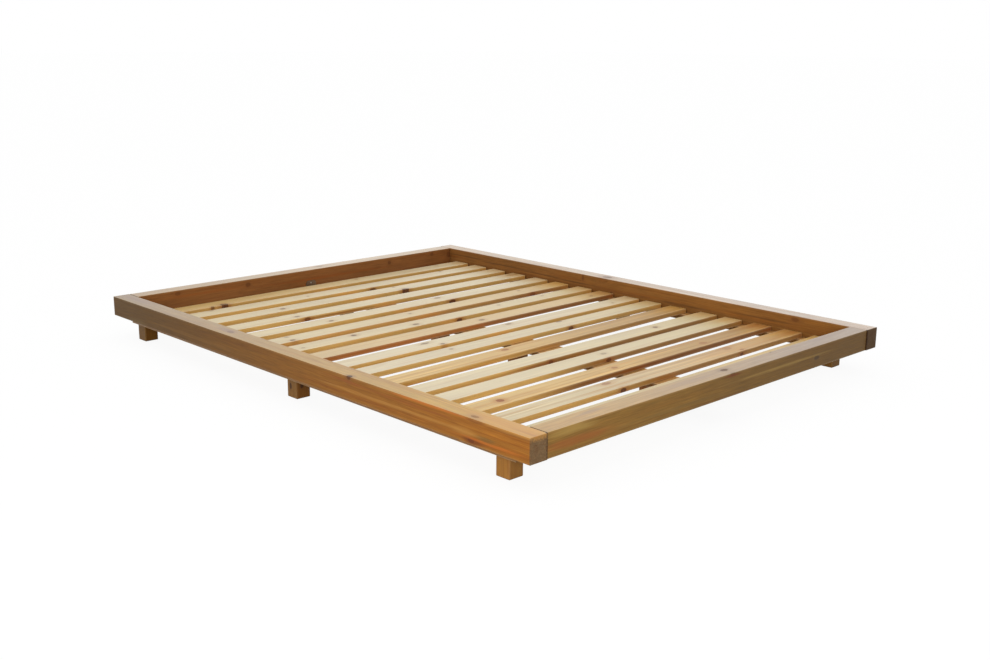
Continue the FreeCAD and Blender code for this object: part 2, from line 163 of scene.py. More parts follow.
def buildKnotGroup():
    tree, taken, given = newGroup(
        "pineKnot",
        [
            ("Vector", "v", (0, 0, 0)), ("Knot", "f", 0), ("Halo", "f", 0), ("Centre", "v", (0, 0, 0)),
            ("Radii", "v", (0.01, 0.01, 0.01)), ("Strength", "f", 1)
        ],
        [("Vector", "v"), ("Knot", "f"), ("Halo", "f")]
    )
    away = vectorCalc(tree, "SUBTRACT", taken["Vector"], taken["Centre"])
    reach = vectorCalc(tree, "LENGTH", vectorCalc(tree, "DIVIDE", away, taken["Radii"]))
    ragged = calc(tree, "MULTIPLY_ADD", noise(tree, taken["Vector"], 160.0, 2.0), 0.5, -0.25)
    reach = calc(tree, "ADD", reach, ragged)
    body = spread(tree, reach, 0.82, 1.12, 1.0, 0.0)
    rings = calc(tree, "MULTIPLY_ADD", calc(tree, "SINE", calc(tree, "MULTIPLY", reach, 17.0)), 0.1, 0.88)
    body = calc(tree, "MULTIPLY", calc(tree, "MULTIPLY", body, rings), taken["Strength"])
    stain = calc(tree, "MULTIPLY", spread(tree, reach, 0.8, 2.9, 1.0, 0.0), taken["Strength"])
    push = spread(tree, reach, 0.2, 3.2, 0.9, 0.0)
    split = addNode(tree, "SeparateXYZ", {"Vector": away})
    bent = addNode(
        tree, "CombineXYZ", {"Y": calc(tree, "MULTIPLY", split.outputs["Y"], push)}
    ).outputs["Vector"]
    tree.links.new(vectorCalc(tree, "SUBTRACT", taken["Vector"], bent), given["Vector"])
    tree.links.new(calc(tree, "MAXIMUM", taken["Knot"], body), given["Knot"])
    tree.links.new(calc(tree, "MAXIMUM", taken["Halo"], stain), given["Halo"])
    return tree


# one long soft patch of another tone, drawn out along the grain; it draws real stains and also painted
# shade


def buildStainAndShadeGroup():
    tree, taken, given = newGroup(
        "pineStainAndShade",
        [
            ("Vector", "v", (0, 0, 0)), ("Color", "c", shade(200, 160, 90)), ("Centre", "v", (0, 0, 0)),
            ("Radii", "v", (0.01, 0.01, 0.01)), ("Tint", "c", shade(150, 100, 50)),
            ("Strength", "f", 0.5)
        ],
        [("Color", "c")]
    )
    away = vectorCalc(tree, "SUBTRACT", taken["Vector"], taken["Centre"])
    reach = vectorCalc(tree, "LENGTH", vectorCalc(tree, "DIVIDE", away, taken["Radii"]))
    grainy = noise(tree, vectorCalc(tree, "MULTIPLY", taken["Vector"], (9.0, 190.0, 190.0)), 1.0, 2.0)
    reach = calc(tree, "ADD", reach, calc(tree, "MULTIPLY_ADD", grainy, 1.3, -0.65))
    soft = calc(tree, "MULTIPLY", spread(tree, reach, 0.35, 1.35, 1.0, 0.0), taken["Strength"])
    tree.links.new(mixColour(tree, soft, taken["Color"], taken["Tint"]), given["Color"])
    return tree


# the faces of a squared board: which is broad, which is narrow, where the eased edges and the
# sawn ends are


def buildFaceGroup():
    tree, taken, given = newGroup(
        "boardFaces", [("Place", "v", (0, 0, 0)), ("Half Size", "v", (1, 0.03, 0.03))],
        [("Broad", "f"), ("End", "f"), ("Edge", "f")]
    )
    out = vectorCalc(tree, "ABSOLUTE", taken["Place"])
    room = addNode(tree, "SeparateXYZ", {"Vector": vectorCalc(tree, "SUBTRACT", taken["Half Size"], out)})
    alongX, acrossY, deepZ = room.outputs  # how far each face still is
    tree.links.new(spread(tree, calc(tree, "SUBTRACT", acrossY, deepZ), -0.0015, 0.0015), given["Broad"])
    tree.links.new(spread(tree, alongX, 0.0008, 0.0035, 1.0, 0.0), given["End"])
    tree.links.new(spread(tree, calc(tree, "ADD", acrossY, deepZ), 0.002, 0.006, 1.0, 0.0), given["Edge"])
    return tree


# a pine board: growth rings round a pith, so faces, edges and end grain agree, with streaks,
# fibres and varnish tone

# for each pattern: noise steps to the metre, first along the grain, then its detail and roughness
boardPattern = {
    "wander": ((1.1, 9.0, 9.0), 2.0, 0.5),
    "fibre": ((22.0, 1100.0, 1100.0), 2.0, 0.6),
    "streak": ((1.6, 60.0, 60.0), 3.0, 0.6),
    "pale": ((1.9, 85.0, 85.0), 2.0, 0.5),
    "cloud": ((2.6, 11.0, 11.0), 2.0, 0.5),
    "grain": ((11.0, 230.0, 230.0), 2.0, 0.7),
}
boardCut = {
    "seedShift": (1.73, 0.37, 0.61), "wanderDeep": 0.03, "unevenYears": 2.0,
    "winter": ((0.5, 0.1), (0.8, 0.7), (0.92, 1.0)),  # slow start, sharp stop
    "paleTint": (1.25, 1.22, 1.1, 1), "wornEdgeAndHighlight": shade(236, 214, 176),
}


def buildBoardGroup():
    tree, taken, given = newGroup(
        "pineBoard",
        [
            ("Vector", "v", (0, 0, 0)), ("Place", "v", (0, 0, 0)), ("Half Size", "v", (1, 0.03, 0.03)),
            ("Seed", "f", 0), ("Pith", "v", (0.004, 0.01, -0.05)), ("Ring Width", "f", 0.003),
            ("Ring Depth", "f", 0.5), ("Top Colour", "c", shade(225, 205, 165)),
            ("Side Colour", "c", shade(200, 160, 90)), ("End Colour", "c", shade(150, 115, 75)),
            ("Late Tint", "c", (0.75, 0.55, 0.35, 1)), ("Streak Tint", "c", (0.8, 0.6, 0.45, 1)),
            ("Streaks", "f", 0.3), ("Far Top", "c", shade(225, 205, 165)),
            ("Far Side", "c", shade(200, 160, 90)), ("Far Start", "f", -1), ("Far End", "f", 1),
            ("Side Start", "f", -1), ("Side End", "f", 1), ("Edge Wear And Highlight", "f", 0.2), ("Grain", "f", 0.2),
            ("Knot", "f", 0), ("Halo", "f", 0), ("Knot Colour", "c", shade(90, 60, 40)),
            ("Halo Colour", "c", shade(170, 120, 70)), ("Side Knot", "c", shade(84, 44, 24)),
            ("Side Halo", "c", shade(160, 88, 40))
        ],
        [("Color", "c"), ("Roughness", "f"), ("Height", "f"), ("Polish", "f")]
    )
    seed = taken["Seed"]
    shift = addNode(
        tree, "CombineXYZ",
        {
            axis: calc(tree, "MULTIPLY", seed, amount)
            for axis, amount in zip("XYZ", boardCut["seedShift"])
        }
    )
    point = vectorCalc(tree, "ADD", taken["Vector"], shift.outputs["Vector"])

    def pattern(name):
        steps, detail, rough = boardPattern[name]
        return noise(tree, vectorCalc(tree, "MULTIPLY", point, steps), 1.0, detail, rough)

    split = addNode(tree, "SeparateXYZ", {"Vector": taken["Vector"]})
    pith = addNode(tree, "SeparateXYZ", {"Vector": taken["Pith"]})
    across = calc(
        tree, "SUBTRACT", split.outputs["Y"],
        calc(tree, "MULTIPLY_ADD", split.outputs["X"], pith.outputs["X"], pith.outputs["Y"])
    )
    deep = calc(
        tree, "SUBTRACT", split.outputs["Z"],
        calc(tree, "MULTIPLY_ADD", split.outputs["X"], pith.outputs["X"], pith.outputs["Z"])
    )
    radius = calc(
        tree, "SQRT",
        calc(tree, "ADD", calc(tree, "MULTIPLY", across, across), calc(tree, "MULTIPLY", deep, deep))
    )
    radius = calc(tree, "ADD", radius, calc(tree, "MULTIPLY", pattern("wander"), boardCut["wanderDeep"]))
    years = calc(tree, "DIVIDE", radius, taken["Ring Width"])
    uneven = addNode(
        tree, "TexNoise",
        {"W": calc(tree, "MULTIPLY_ADD", years, 0.4, seed), "Scale": 1.0, "Detail": 1.0},
        noise_dimensions="1D"
    ).outputs["Fac"]
    years = calc(tree, "ADD", years, calc(tree, "MULTIPLY", uneven, boardCut["unevenYears"]))
    season = addNode(tree, "ValToRGB", {"Fac": calc(tree, "FRACT", years)})
    stops = season.color_ramp.elements
    stops[0].position, stops[0].color = 0.0, (0, 0, 0, 1)
    stops[1].position, stops[1].color = 1.0, (0.1, 0.1, 0.1, 1)
    for place, tone in boardCut["winter"]:
        stop = stops.new(place)
        stop.color = (tone, tone, tone, 1)
    yearly = addNode(
        tree, "TexWhiteNoise", {"W": calc(tree, "ADD", calc(tree, "FLOOR", years), seed)},
        noise_dimensions="1D"
    ).outputs["Value"]
    late = calc(tree, "MULTIPLY", season.outputs["Color"], calc(tree, "MULTIPLY_ADD", yearly, 0.6, 0.4))
    fibre, cloud, grain = pattern("fibre"), pattern("cloud"), pattern("grain")
    streak = spread(tree, pattern("streak"), 0.47, 0.72)
    pale = spread(tree, pattern("pale"), 0.5, 0.75)
    broad, end, edge = placeGroup(
        tree, "boardFaces", {"Place": taken["Place"], "Half Size": taken["Half Size"]}
    )
    along = addNode(tree, "SeparateXYZ", {"Vector": taken["Place"]}).outputs["X"]
    drift = spread(tree, along, taken["Far Start"], taken["Far End"])
    side = mixColour(
        tree, spread(tree, along, taken["Side Start"], taken["Side End"]), taken["Side Colour"],
        taken["Far Side"]
    )
    wood = mixColour(tree, broad, side, mixColour(tree, drift, taken["Top Colour"], taken["Far Top"]))
    wood = mixColour(tree, end, wood, taken["End Colour"])
    marks = [
        (late, "Ring Depth", taken["Late Tint"]), (streak, "Streaks", taken["Streak Tint"]),
        (pale, "Streaks", boardCut["paleTint"])
    ]
    for mark, strength, tint in marks:
        tinted = mixColour(tree, 1.0, wood, tint, "MULTIPLY")
        wood = mixColour(tree, calc(tree, "MULTIPLY", mark, taken[strength]), wood, tinted)
    tone = calc(
        tree, "ADD", calc(tree, "MULTIPLY_ADD", cloud, 0.34, 0.74), calc(tree, "MULTIPLY", fibre, 0.18)
    )
    tone = calc(
        tree, "ADD", tone,
        calc(tree, "MULTIPLY_ADD", grain, taken["Grain"], calc(tree, "MULTIPLY", taken["Grain"], -0.5))
    )
    wood = mixColour(tree, 1.0, wood, greyOf(tree, tone), "MULTIPLY")
    # eased edges painted lighter: partly wear, partly a painted highlight
    wood = mixColour(tree, calc(tree, "MULTIPLY", edge, taken["Edge Wear And Highlight"]), wood, boardCut["wornEdgeAndHighlight"])
    wood = mixColour(
        tree, calc(tree, "MULTIPLY", taken["Halo"], 0.6), wood,
        mixColour(tree, broad, taken["Side Halo"], taken["Halo Colour"])
    )
    wood = mixColour(
        tree, taken["Knot"], wood, mixColour(tree, broad, taken["Side Knot"], taken["Knot Colour"])
    )
    tree.links.new(wood, given["Color"])
    sheen = calc(
        tree, "ADD", calc(tree, "MULTIPLY_ADD", fibre, 0.14, 0.34), calc(tree, "MULTIPLY", cloud, 0.08)
    )
    tree.links.new(calc(tree, "ADD", sheen, calc(tree, "MULTIPLY", end, 0.2)), given["Roughness"])
    worn = calc(tree, "MULTIPLY_ADD", taken["Knot"], -0.8, 1.0)  # varnish sinks into knots
    tree.links.new(
        calc(tree, "MULTIPLY", calc(tree, "MULTIPLY", broad, worn), calc(tree, "SUBTRACT", 1.0, end)),
        given["Polish"]
    )
    bumps = calc(tree, "ADD", calc(tree, "MULTIPLY", late, 0.35), calc(tree, "MULTIPLY", fibre, 0.5))
    tree.links.new(
        calc(tree, "SUBTRACT", bumps, calc(tree, "MULTIPLY", taken["Knot"], 0.25)), given["Height"]
    )
    return tree


buildKnotGroup()
buildStainAndShadeGroup()
buildFaceGroup()
buildBoardGroup()


def layOf(piece, grain):  # a piece's middle, its turn, and half its size along, across and up the grain
    low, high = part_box(piece)
    centre = (low + high) / 2
    points = [v.co for v in nodes[piece].data.vertices]
    size = high - low
    if grain == "z":
        return centre, (0.0, -math.pi / 2, 0.0), Vector((size.z, size.y, size.x)) / 2
    if grain == "y":
        return centre, (0.0, 0.0, math.pi / 2), Vector((size.y, size.x, size.z)) / 2
    leftEnd = [p for p in points if p.x < low.x + 0.05]
    rightEnd = [p for p in points if p.x > high.x - 0.05]
    left = sum(leftEnd, Vector()) / len(leftEnd)
    right = sum(rightEnd, Vector()) / len(rightEnd)
    turn = math.atan2(right.y - left.y, right.x - left.x)
    width = max(p.y for p in leftEnd) - min(p.y for p in leftEnd)
    return centre, (0.0, 0.0, turn), Vector((size.x, width, size.z)) / 2


def spotOf(amounts):  # middle and half lengths of a knot or stain, mm to m
    metres = [amount / 1000 for amount in amounts]
    return metres[:3], metres[3:]


pineFinish = {
    "bump": 0.35, "fibreDeep": 0.0004,
    "coatRoughness": 0.28, "sideCoat": 0.08,  # the narrow faces keep this share of the varnish
    "specular": 0.12,
}


def dressPine(piece, grain, look):
    centre, turn, half = layOf(piece, grain)
    material = bpy.data.materials.new("pine_" + piece)
    material.use_nodes = True
    tree = material.node_tree
    principled = tree.nodes["Principled BSDF"]
    spot = addNode(tree, "TexCoord").outputs["Object"]
    straight = addNode(
        tree, "Mapping", {"Vector": spot, "Location": centre, "Rotation": turn}, vector_type="TEXTURE"
    ).outputs["Vector"]
    point, knot, halo = straight, 0.0, 0.0
    for *spots, strength in look.get("knots", []):
        centre, radii = spotOf(spots)
        values = {
            "Vector": point, "Knot": knot, "Halo": halo, "Centre": centre, "Radii": radii,
            "Strength": strength
        }
        point, knot, halo = placeGroup(tree, "pineKnot", values)
    values = {"Vector": point, "Place": straight, "Half Size": half, "Knot": knot, "Halo": halo}
    board = placeGroup(tree, "pineBoard", {**values, **look["wood"]})
    colour = board["Color"]
    for *spots, strength, tint in look.get("stainsAndShade", []):
        centre, radii = spotOf(spots)
        values = {
            "Vector": straight, "Color": colour, "Centre": centre, "Radii": radii,
            "Tint": stainAndShadeTones[tint], "Strength": strength
        }
        colour = placeGroup(tree, "pineStainAndShade", values)["Color"]
    tree.links.new(colour, principled.inputs["Base Color"])
    tree.links.new(board["Roughness"], principled.inputs["Roughness"])
    bump = addNode(
        tree, "Bump",
        {"Strength": pineFinish["bump"], "Distance": pineFinish["fibreDeep"], "Height": board["Height"]}
    )
    tree.links.new(bump.outputs["Normal"], principled.inputs["Normal"])
    varnish = look["varnish"]
    if varnish:
        coat = spread(tree, board["Polish"], 0.0, 1.0, varnish * pineFinish["sideCoat"], varnish)
        tree.links.new(coat, principled.inputs["Coat Weight"])
        principled.inputs["Coat Roughness"].default_value = pineFinish["coatRoughness"]
    principled.inputs["Specular IOR Level"].default_value = pineFinish["specular"]
    for place in nodes[piece].material_slots:
        place.material = material


# rails: thick varnished pine, darker than the slats. Knots, stains and patches of painted shade are in mm
# from the piece's middle: along, across, up, then the half lengths, the strength and a patch's tone. Far
# colours are at the piece's other end

stainAndShadeTones = {
    "flame": shade(214, 118, 44), "gold": shade(190, 136, 66), "russet": shade(150, 84, 36),
    "rust": shade(112, 54, 18), "moss": shade(112, 88, 46), "straw": shade(172, 140, 74),
    "mauve": shade(126, 98, 86), "umber": shade(96, 62, 30), "seam": shade(52, 32, 18),
}
railLook = {
    "Late Tint": (0.72, 0.5, 0.32, 1), "Ring Depth": 0.5, "Ring Width": 0.0042, "Streaks": 0.55,
    "Far Start": -1.0, "Far End": 1.0, "Edge Wear And Highlight": 0.05, "Grain": 0.9,
    "Knot Colour": shade(88, 60, 40), "Halo Colour": shade(132, 90, 54),
    "End Colour": shade(112, 88, 60), "Side Knot": shade(98, 56, 28), "Side Halo": shade(124, 78, 40),
}
rails = {
    "side_rail_left": {
        "grain": "y", "varnish": 0.55,
        "wood": {
            "Seed": 3.1, "Pith": (0.006, 0.012, -0.05), "Knot Colour": shade(58, 40, 26),
            "Top Colour": shade(180, 140, 52), "Far Top": shade(141, 117, 82),
            "Side Colour": shade(162, 105, 38), "Far Side": shade(96, 66, 15),
        },
        "knots": [
            (320, 0, 36, 16, 9, 14, 0.5), (-350, 27, 36, 10, 9, 12, 1.0),
            (-857, 14, 36, 15, 7, 12, 0.9), (-860, 33, -25, 14, 6, 5, 0.8),
        ],
        "stainsAndShade": [
            (-325, 33, 20, 90, 20, 5, 0.6, "russet"), (-700, 31, 31, 190, 8, 4, 0.5, "flame"),
            (-878, 31, 31, 38, 8, 5, 0.8, "rust"), (-831, 31, -6, 50, 10, 12, 0.45, "gold"),
            (-868, 31, -24, 46, 8, 8, 0.6, "rust"), (-915, 31, -10, 36, 8, 9, 0.6, "moss"),
            (-542, 31, -6, 330, 8, 5, 0.5, "gold"), (-936, 31, -18, 140, 8, 4, 0.5, "flame"),
            (-985, 31, 27, 100, 8, 3.5, 0.7, "rust"), (-620, 31, 16, 260, 8, 5, 0.45, "russet"),
            (901, 31, -30, 80, 10, 12, 0.5, "moss"), (350, -4, 34, 55, 15, 8, 0.6, "mauve"),
            (950, -7, 34, 140, 20, 8, 0.55, "mauve"), (-1036, 9, 34, 60, 6, 8, 0.6, "rust"),
            (500, 31, -12, 300, 8, 6, 0.1, "gold"), (-990, 0, 34, 170, 45, 12, 0.65, "gold"),
            (-1067, -31, 0, 5, 6, 80, 0.9, "seam"), (1067, -31, 0, 5, 6, 80, 0.9, "seam"),
        ],
    },
    "side_rail_right": {
        "grain": "y", "varnish": 0.75,
        "wood": {
            "Seed": 8.4, "Pith": (0.004, 0.02, -0.06), "End Colour": shade(76, 54, 26),
            "Top Colour": shade(184, 168, 152), "Far Top": shade(187, 167, 143),
            "Side Colour": shade(144, 98, 46), "Far Side": shade(134, 90, 44),
        },
        "knots": [
            (89, 4, 36, 22, 16, 14, 0.7), (195, 33, 20, 5, 8, 12, 0.8), (42, 33, -20, 9, 10, 8, 0.8),
            (-794, 33, 22, 16, 8, 8, 0.55),
        ],
        "stainsAndShade": [
            (880, 31, 10.5, 150, 8, 3, 0.8, "umber"), (650, 31, 4.5, 150, 8, 3, 0.8, "umber"),
            (430, 31, -0.5, 140, 8, 3, 0.8, "umber"), (230, 31, -4.5, 130, 8, 3, 0.8, "umber"),
            (-321, 31, -9, 170, 8, 4, 0.6, "umber"), (-638, 31, 3, 170, 8, 4, 0.6, "umber"),
            # the long umber band low on the inner face is painted shade near the slats
            (0, 31, -28, 1000, 8, 22, 0.35, "umber"), (-1067, 31, 0, 5, 6, 80, 0.9, "seam"),
            (1067, 31, 0, 5, 6, 80, 0.9, "seam"),
        ],
    },
    "head_rail": {
        "grain": "x", "varnish": 0.75,
        "wood": {
            "Seed": 5.7, "Pith": (0.005, -0.01, 0.06), "Far Start": -0.8, "Far End": 0.4,
            "End Colour": shade(60, 40, 24), "Top Colour": shade(157, 127, 80),
            "Far Top": shade(186, 166, 138), "Side Colour": shade(139, 91, 48),
            "Far Side": shade(136, 87, 45),
        },
        "knots": [
            (-604, -33, 22, 12, 10, 8, 0.6), (-298, -33, 14, 12, 10, 9, 0.8),
            (414, -33, 12, 9, 10, 8, 0.9), (658, -33, 20, 10, 10, 9, 0.7),
            (758, -33, 8, 12, 10, 14, 0.7), (71, 6, 36, 16, 9, 12, 0.4),
        ],
        "stainsAndShade": [(-500, -31, 10, 200, 8, 6, 0.5, "russet"), (100, -31, -4, 260, 8, 5, 0.5, "russet")],
    },
    "foot_rail": {
        "grain": "x", "varnish": 0.75,
        "wood": {
            "Seed": 12.6, "Pith": (-0.006, 0.012, -0.045), "Far Start": -0.7, "Far End": 0.7,
            "End Colour": shade(60, 40, 24), "Streaks": 0.3, "Knot Colour": shade(88, 58, 26),
            "Halo Colour": shade(116, 86, 56), "Side Knot": shade(62, 40, 10),
            "Side Halo": shade(104, 76, 34), "Top Colour": shade(172, 137, 76),
            # the far top's greyer tone is partly the wood and partly a painted sheen
            "Far Top": shade(143, 122, 101), "Side Colour": shade(138, 102, 44),
            "Far Side": shade(99, 70, 20),
        },
        "knots": [
            (15, 5, 36, 15, 9, 12, 1.0), (288, 29, 36, 5, 4, 8, 0.8), (461, -33, -3, 16, 10, 7, 0.85),
            (8, -33, 33, 12, 10, 7, 0.5),
        ],
        "stainsAndShade": [
            (-675, -31, 24, 90, 8, 12, 0.6, "straw"), (-650, -31, -9, 140, 8, 12, 0.6, "russet"),
            (10, -31, 28, 40, 8, 5, 0.7, "rust"), (-566, 9, 34, 60, 9, 8, 0.5, "mauve"),
            (559, 13, 34, 70, 13, 8, 0.5, "mauve"), (-158, 3, 34, 130, 15, 8, 0.35, "mauve"),
            (250, -31, 6, 260, 8, 5, 0.4, "straw"), (-250, -31, -14, 240, 8, 6, 0.4, "moss"),
        ],
    },
}
for piece, look in rails.items():
    dressPine(piece, look["grain"], {**look, "wood": {**railLook, **look["wood"]}})

# boards below the rails and down the middle

boardLook = {
    "Top Colour": shade(176, 132, 76), "Far Top": shade(176, 132, 76),
    "Side Colour": shade(150, 104, 52), "Far Side": shade(150, 104, 52),
    "End Colour": shade(130, 98, 60), "Late Tint": (0.72, 0.5, 0.32, 1), "Ring Depth": 0.6,
    "Ring Width": 0.0032, "Streaks": 0.4,
}
boards = {
    "ledger_left": {"Seed": 21.3, "Pith": (0.005, 0.03, -0.04)},
    "ledger_right": {"Seed": 27.9, "Pith": (0.006, -0.025, -0.05)},
    "centre_board": {"Seed": 33.2, "Pith": (-0.004, 0.01, 0.04)},
}
for piece, wood in boards.items():
    dressPine(piece, "y", {"wood": {**boardLook, **wood}, "varnish": 0.2})

# feet: short square posts, grain upright, end grain on the floor. The one at the near corner is
# more orange

footLook = {
    "End Colour": shade(120, 92, 58), "Late Tint": (0.7, 0.48, 0.3, 1), "Ring Depth": 0.6,
    "Ring Width": 0.0034, "Streaks": 0.35, "Edge Wear And Highlight": 0.04, "Knot Colour": shade(62, 36, 14),
    "Side Knot": shade(62, 36, 14), "Side Halo": shade(104, 66, 26), "Halo Colour": shade(124, 84, 36),
}
# each pair is one tone, painted lighter on the faces that look across the bed and darker on those that
# look along it: painted light and shade
footTones = {  # tone of the faces that look across the bed, and of those that look along it
    "side_foot_left_foot_end": (shade(168, 116, 50), shade(146, 103, 46)),
    "side_foot_left_middle": (shade(134, 94, 37), shade(118, 76, 26)),
    "side_foot_left_head_end": (shade(112, 76, 12), shade(105, 69, 14)),
    # the centre feet are painted lighter, as painted light against the shade under the bed
    "centre": (shade(186, 122, 66), shade(186, 122, 66)),
    "others": (shade(124, 86, 30), shade(122, 84, 26)),
}
footKnots = {"side_foot_left_middle": [(7, 7, 25, 11, 5, 9, 1.0), (10, -25, 6, 7, 9, 6, 1.0)]}
feet = sorted(name for name in nodes if name.startswith(("side_foot", "centre_foot")))
for count, piece in enumerate(feet):
    tone, alongShadeTone = footTones.get(piece, footTones["centre" if piece.startswith("centre") else "others"])
    pith = (0.01, 0.03 - 0.012 * (count % 5), -0.03 - 0.008 * (count % 3))
    wood = {**footLook, "Seed": 41.0 + 3.7 * count, "Pith": pith}
    wood["Top Colour"] = wood["Far Top"] = tone
    wood["Side Colour"] = wood["Far Side"] = alongShadeTone
    dressPine(piece, "z", {"wood": wood, "knots": footKnots.get(piece, []), "varnish": 0.1})

# slats: paler, thinly varnished, each from its own plank; knots as for the rails

slatLook = {
    "End Colour": shade(176, 140, 92), "Late Tint": (0.82, 0.66, 0.45, 1), "Ring Depth": 0.45,
    "Ring Width": 0.0038, "Streaks": 0.38, "Far Start": -0.6, "Far End": 0.6, "Side Start": -0.6,
    "Side End": 0.6, "Edge Wear And Highlight": 0.15, "Knot Colour": shade(82, 54, 26),
    "Halo Colour": shade(160, 118, 58), "Side Knot": shade(84, 42, 20), "Side Halo": shade(150, 84, 40),
}
tops = {
    "toffee": shade(168, 132, 73), "pale": shade(199, 184, 147), "cream": shade(194, 176, 130),
    "straw": shade(190, 160, 98), "honey": shade(203, 171, 108), "tan": shade(178, 140, 78),
}
sides = {
    "bright": shade(224, 177, 100), "ochre": shade(202, 158, 88), "amber": shade(218, 163, 90),
    "brown": shade(170, 126, 72), "russet": shade(184, 116, 60), "dark": shade(142, 94, 48),
    "nut": shade(158, 114, 62),
}
# for each slat: the tones of its top and its side, at the left and the right end. Where a side is lighter
# at the left end than at the right, that is painted light and shade
slats = {
    "slat_01": {
        "top": ("straw", "pale"), "side": ("ochre", "ochre"), "varnish": 0.7,
        "knots": [
            (-480, -30, 0, 16, 14, 40, 1.0), (-532, -36, 0, 7, 8, 40, 0.7), (180, 18, 0, 9, 6, 40, 0.6),
            (622, 18, 0, 9, 6, 40, 0.4),
        ],
    },
    "slat_02": {
        "top": ("cream", "pale"), "side": ("bright", "ochre"), "varnish": 0.75,
        "knots": [
            (-570, 26, 0, 9, 6, 40, 0.5), (-162, -4, 0, 6, 5, 40, 0.6), (548, 26, 0, 8, 6, 40, 0.6),
            (132, -38, -2, 16, 9, 7, 0.8),
        ],
    },
    "slat_03": {
        "top": ("cream", "pale"), "side": ("bright", "ochre"), "varnish": 0.75,
        "knots": [
            (-357, 0, 0, 12, 9, 40, 0.9), (193, 26, 0, 8, 7, 40, 0.6), (205, -34, 0, 17, 12, 40, 1.0),
        ],
    },
    "slat_04": {
        "top": ("cream", "pale"), "side": ("bright", "ochre"), "varnish": 0.75,
        "knots": [
            (-389, -10, 0, 12, 8, 40, 0.8), (-367, 34, 0, 8, 6, 40, 0.5),
            (-362, -38, -2, 14, 7, 8, 0.9), (735, 12, 0, 40, 20, 40, 0.5),
        ],
    },
    "slat_05": {
        "top": ("cream", "pale"), "side": ("bright", "ochre"), "varnish": 0.75,
        "knots": [
            (-337, -12, 0, 11, 7, 40, 0.9), (193, 16, 0, 15, 9, 40, 0.7), (225, -38, -2, 17, 9, 8, 1.0),
        ],
    },
    "slat_06": {
        "top": ("cream", "straw"), "side": ("amber", "brown"), "varnish": 0.75,
        "knots": [
            (-595, -22, 0, 11, 8, 40, 0.9), (-587, 24, 0, 10, 7, 40, 0.5), (-57, 6, 0, 8, 6, 40, 0.6),
            (523, 16, 0, 8, 6, 40, 0.5), (550, -38, -2, 16, 8, 8, 0.9),
        ],
    },
    "slat_07": {
        "top": ("cream", "cream"), "side": ("bright", "ochre"), "varnish": 0.75,
        "knots": [
            (-405, 10, 0, 12, 9, 40, 0.9), (-627, -10, 0, 7, 6, 40, 0.5),
            (-147, -12, 0, 15, 9, 40, 0.8), (40, -38, -2, 14, 8, 7, 0.9), (283, 10, 0, 9, 6, 40, 0.5),
            (523, 12, 0, 9, 6, 40, 0.5),
        ],
    },
    "slat_08": {
        "top": ("straw", "straw"), "side": ("russet", "dark"), "varnish": 0.75,
        "knots": [(71, -3, 0, 13, 9, 40, 0.8), (665, -6, 0, 9, 7, 40, 0.7)],
    },
    "slat_09": {
        "top": ("pale", "pale"), "side": ("bright", "ochre"), "varnish": 0.75,
        "knots": [
            (-297, 16, 0, 19, 8, 40, 0.7), (-257, -27, 0, 9, 7, 40, 0.8), (98, 20, 0, 15, 8, 40, 0.7),
            (633, -12, 0, 8, 6, 40, 0.5),
        ],
    },
    "slat_10": {
        "top": ("pale", "cream"), "side": ("bright", "ochre"), "varnish": 0.8,
        "knots": [
            (-280, 12, 0, 8, 6, 40, 0.7), (258, 30, 0, 16, 6, 40, 0.7), (248, -38, -2, 13, 9, 7, 0.9),
        ],
    },
    "slat_11": {
        "top": ("honey", "toffee"), "side": ("bright", "brown"), "varnish": 0.35,
        "knots": [(-157, 14, 0, 16, 9, 40, 0.7), (408, 33, 0, 18, 7, 40, 0.4)],
    },
    "slat_12": {
        "top": ("pale", "cream"), "side": ("bright", "nut"), "varnish": 0.75,
        "knots": [(448, 2, 0, 11, 9, 40, 0.9), (-130, -38, -2, 11, 8, 7, 0.9)],
    },
    "slat_13": {
        "top": ("pale", "cream"), "side": ("bright", "nut"), "varnish": 0.75,
        "knots": [(43, 2, 0, 14, 9, 40, 0.5), (24, -38, -2, 13, 9, 7, 0.8)],
    },
    "slat_14": {
        "top": ("honey", "toffee"), "side": ("bright", "dark"), "varnish": 0.35,
        "knots": [
            (-552, -3, 0, 14, 12, 40, 0.9), (-57, -4, 0, 13, 9, 40, 0.6),
            (393, -10, 0, 18, 11, 40, 0.5),
        ],
    },
    "slat_15": {
        "top": ("pale", "tan"), "side": ("bright", "brown"), "varnish": 0.5,
        "knots": [
            (-207, 20, 0, 20, 10, 40, 0.6), (-195, -38, -2, 14, 9, 7, 0.9),
            (393, 16, 0, 22, 14, 40, 0.4), (418, -24, 0, 10, 7, 40, 0.6), (405, -38, -2, 13, 7, 6, 0.8),
        ],
    },
    "slat_16": {
        "top": ("cream", "straw"), "side": ("bright", "brown"), "varnish": 0.6,
        "knots": [(-340, 5, 0, 12, 8, 40, 0.8), (290, -14, 0, 13, 9, 40, 0.7)],
    },
}
# painted shade and a painted reflection of the dark underside: from about the middle, over the centre
# board, these slat sides turn darker to the right
sideShadeFrom = {  # where a side turns darker, m from the slat's middle
    "slat_11": 0.05, "slat_12": -0.05, "slat_13": 0.0, "slat_14": -0.2, "slat_15": 0.05,
}
sideShadeFade = 0.35
thinVarnish = 0.6  # a slat with less than this looks bare and streaky
thinLook = {
    "Streaks": 0.9, "Streak Tint": (0.82, 0.62, 0.42, 1), "Knot Colour": shade(126, 62, 6),
    "Halo Colour": shade(170, 112, 38),
}
